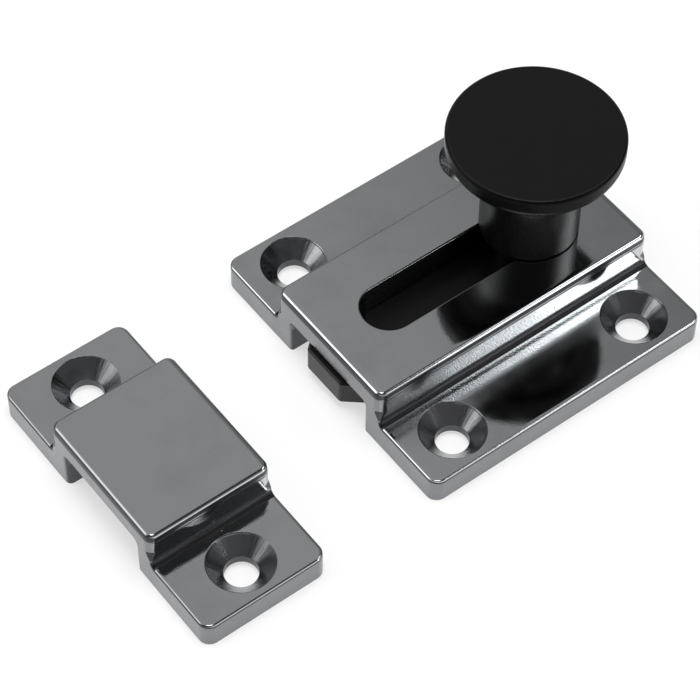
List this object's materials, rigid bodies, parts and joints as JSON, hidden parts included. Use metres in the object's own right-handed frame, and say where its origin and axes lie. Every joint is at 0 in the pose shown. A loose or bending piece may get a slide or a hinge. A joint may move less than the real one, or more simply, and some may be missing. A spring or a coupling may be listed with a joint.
{
  "type": "cupboard bolt",
  "caption": "Surface-mounted sliding cupboard bolt: flanged chrome housing with a slot, black knob that moves the bolt, and a separate bridge-shaped keeper.",
  "frame": {"origin": "centre of the case's four screw holes, on the mounting face", "axes": "+X is the way the bolt is thrown, towards the keeper; +Y runs across the flanges; +Z points out of the mounting face, towards the knob"},
  "size_m": [0.0754, 0.0424, 0.0262],
  "materials": {
    "plated_casting": "polished and chrome plated",
    "black_plastic": "satin moulded, nearly black",
    "brass_bush": "turned",
    "plated_steel": "bright zinc plated",
    "spring_steel": "dull rolled strip"
  },
  "bodies": {
    "castings": {"case": "plated_casting", "keeper": "plated_casting"},
    "bolt": {"bolt_slide": "black_plastic", "knob": "black_plastic", "knob_insert": "brass_bush", "knob_screw": "plated_steel", "friction_spring": "spring_steel"}
  },
  "joints": [
    {"name": "bolt_throw", "type": "slide", "parent": "castings", "child": "bolt", "axis": [1, 0, 0], "range_m": [0, 0.0204]}
  ]
}
